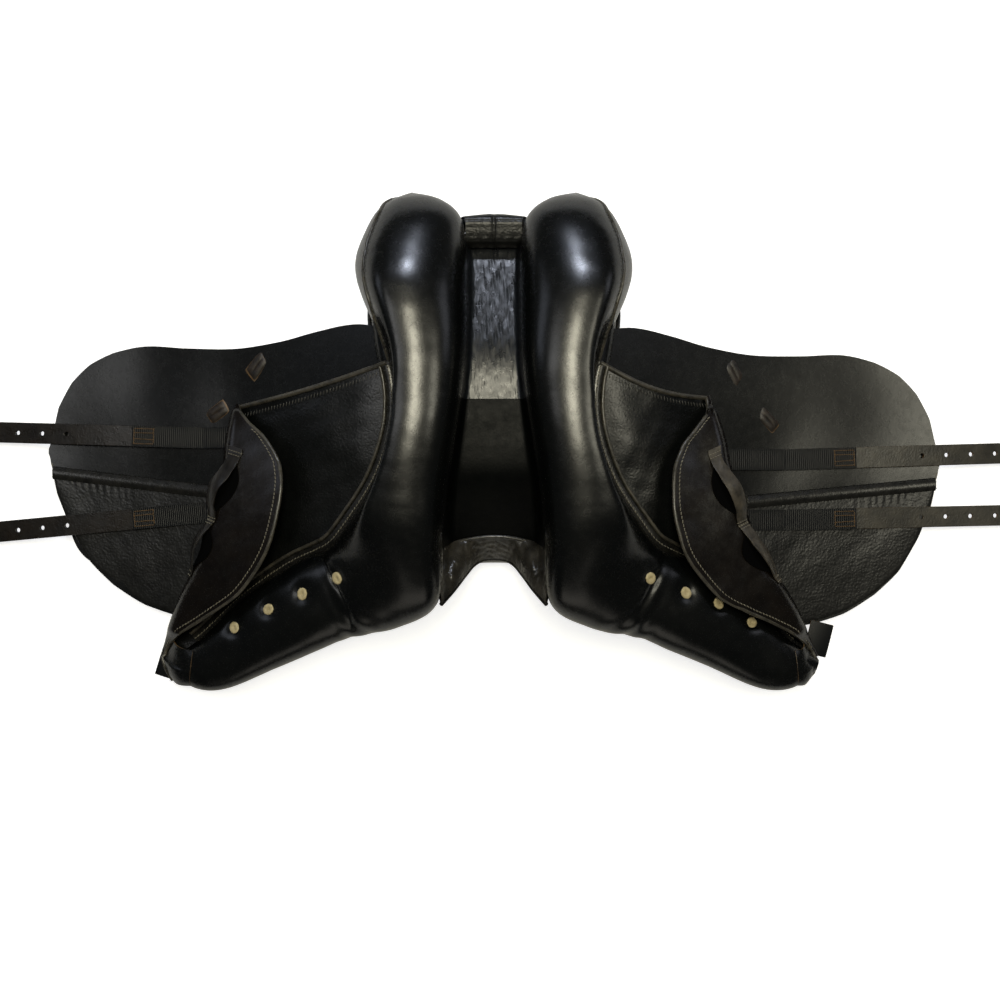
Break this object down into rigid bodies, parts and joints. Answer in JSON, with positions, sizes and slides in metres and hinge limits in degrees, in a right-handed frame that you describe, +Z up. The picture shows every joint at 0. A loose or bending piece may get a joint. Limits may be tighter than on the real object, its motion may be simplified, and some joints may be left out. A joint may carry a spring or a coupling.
{
  "type": "english saddle",
  "caption": "Black dressage-style english saddle lying upside down, with flocked panels, tufted front rolls, curled sweat flaps, flaps, girth billets and a hidden tree with stirrup bars.",
  "frame": {"origin": "centre of the saddle's outline on the surface it lies on", "axes": "+X to the saddle's right as pictured, +Y to the cantle, +Z up to the panels"},
  "size_m": [1.4908, 0.5738, 0.212],
  "materials": {
    "black_leather": "smooth dyed leather",
    "grained_leather": "grained leather",
    "brown_leather": "brown strap leather",
    "billet_leather": "worn black strap leather",
    "patent_leather": "glossy coated leather",
    "flock": "wool flock",
    "foam": "seat foam",
    "webbing": "ribbed black webbing",
    "linen_webbing": "linen webbing",
    "wood": "laminated beech",
    "steel": "spring steel",
    "bar_steel": "forged stainless steel",
    "nickel": "nickel plate",
    "brass": "brass",
    "tuft": "pale tan leather washer"
  },
  "bodies": {
    "saddle": {"tree_head": "wood", "tree_rails": "wood", "tree_cantle": "wood", "head_plate": "steel", "gullet_plate": "steel", "spring_bars": "steel", "cantle_plate": "steel", "tree_rivets": "steel", "left_stirrup_bar": "bar_steel", "right_stirrup_bar": "bar_steel", "catch_pins": "bar_steel", "seat_webbing": "linen_webbing", "seat_foam": "foam", "seat_cover": "black_leather", "seat_welt": "black_leather", "cantle_facing": "grained_leather", "pommel_lining": "grained_leather", "channel_leather": "grained_leather", "saddle_nails": "brass", "dee_chapes": "black_leather", "left_panel": "black_leather", "right_panel": "black_leather", "panel_flock": "flock", "panel_welts": "black_leather", "panel_tufts": "tuft", "point_pockets": "black_leather"},
    "left_flap": {"left_flap": "black_leather", "left_flap_facing": "grained_leather", "left_keeper": "brown_leather", "left_knee_block": "black_leather"},
    "left_sweat_flap": {"left_sweat_flap": "grained_leather", "left_front_roll": "patent_leather", "left_tufts": "tuft", "left_billet_guide": "grained_leather", "left_girth_webs": "webbing", "left_point_tab": "black_leather"},
    "left_rear_billet": {"left_rear_billet": "billet_leather", "left_rear_web": "webbing"},
    "left_front_billet": {"left_front_billet": "billet_leather", "left_front_web": "webbing"},
    "left_skirt": {"left_skirt": "black_leather"},
    "left_bar_catch": {"left_bar_catch": "bar_steel"},
    "left_dee": {"left_dee": "nickel"},
    "right_flap": {"right_flap": "black_leather", "right_flap_facing": "grained_leather", "right_keeper": "brown_leather", "right_knee_block": "black_leather"},
    "right_sweat_flap": {"right_sweat_flap": "grained_leather", "right_front_roll": "patent_leather", "right_tufts": "tuft", "right_billet_guide": "grained_leather", "right_girth_webs": "webbing", "right_point_tab": "black_leather"},
    "right_rear_billet": {"right_rear_billet": "billet_leather", "right_rear_web": "webbing"},
    "right_front_billet": {"right_front_billet": "billet_leather", "right_front_web": "webbing"},
    "right_skirt": {"right_skirt": "black_leather"},
    "right_bar_catch": {"right_bar_catch": "bar_steel"},
    "right_dee": {"right_dee": "nickel"}
  },
  "joints": [
    {"name": "left_side_fold", "type": "hinge", "parent": "saddle", "child": "left_flap", "pos_m": [-0.159, -0.045, 0.128], "axis": [0.2472, 0.969, 0], "range_deg": [0, 35]},
    {"name": "left_sweat_fold", "type": "hinge", "parent": "saddle", "child": "left_sweat_flap", "pos_m": [-0.159, -0.045, 0.128], "axis": [0.2472, 0.969, 0], "range_deg": [0, 42]},
    {"name": "left_rear_billet_lift", "type": "hinge", "parent": "left_sweat_flap", "child": "left_rear_billet", "pos_m": [-0.347, 0.011, 0.04584], "axis": [0.0326, 0.9995, 0], "range_deg": [0, 40]},
    {"name": "left_front_billet_lift", "type": "hinge", "parent": "left_sweat_flap", "child": "left_front_billet", "pos_m": [-0.347, -0.078, 0.04584], "axis": [-0.0926, 0.9957, 0], "range_deg": [0, 40]},
    {"name": "left_skirt_droop", "type": "hinge", "parent": "saddle", "child": "left_skirt", "pos_m": [-0.095, 0, 0.092], "axis": [0, -1, 0], "range_deg": [0, 20]},
    {"name": "left_catch_swing", "type": "hinge", "parent": "saddle", "child": "left_bar_catch", "pos_m": [-0.118, -0.038, 0.104], "axis": [-1, 0, 0], "range_deg": [0, 30]},
    {"name": "left_dee_swing", "type": "hinge", "parent": "saddle", "child": "left_dee", "pos_m": [-0.072, -0.17, 0.092], "axis": [-1, 0, 0], "range_deg": [0, 80]},
    {"name": "right_side_fold", "type": "hinge", "parent": "saddle", "child": "right_flap", "pos_m": [0.159, -0.045, 0.128], "axis": [0.2472, -0.969, 0], "range_deg": [0, 35]},
    {"name": "right_sweat_fold", "type": "hinge", "parent": "saddle", "child": "right_sweat_flap", "pos_m": [0.159, -0.045, 0.128], "axis": [0.2472, -0.969, 0], "range_deg": [0, 42]},
    {"name": "right_rear_billet_lift", "type": "hinge", "parent": "right_sweat_flap", "child": "right_rear_billet", "pos_m": [0.347, -0.015, 0.04584], "axis": [0.0326, -0.9995, 0], "range_deg": [0, 40]},
    {"name": "right_front_billet_lift", "type": "hinge", "parent": "right_sweat_flap", "child": "right_front_billet", "pos_m": [0.347, -0.087, 0.04584], "axis": [0.0201, -0.9998, 0], "range_deg": [0, 40]},
    {"name": "right_skirt_droop", "type": "hinge", "parent": "saddle", "child": "right_skirt", "pos_m": [0.095, 0, 0.092], "axis": [0, 1, 0], "range_deg": [0, 20]},
    {"name": "right_catch_swing", "type": "hinge", "parent": "saddle", "child": "right_bar_catch", "pos_m": [0.118, -0.038, 0.104], "axis": [-1, 0, 0], "range_deg": [0, 30]},
    {"name": "right_dee_swing", "type": "hinge", "parent": "saddle", "child": "right_dee", "pos_m": [0.072, -0.17, 0.092], "axis": [-1, 0, 0], "range_deg": [0, 80]}
  ],
  "couplings": [
    {"joint": "left_sweat_fold", "follows": "left_side_fold", "ratio": 1.2},
    {"joint": "right_sweat_fold", "follows": "right_side_fold", "ratio": 1.2}
  ]
}
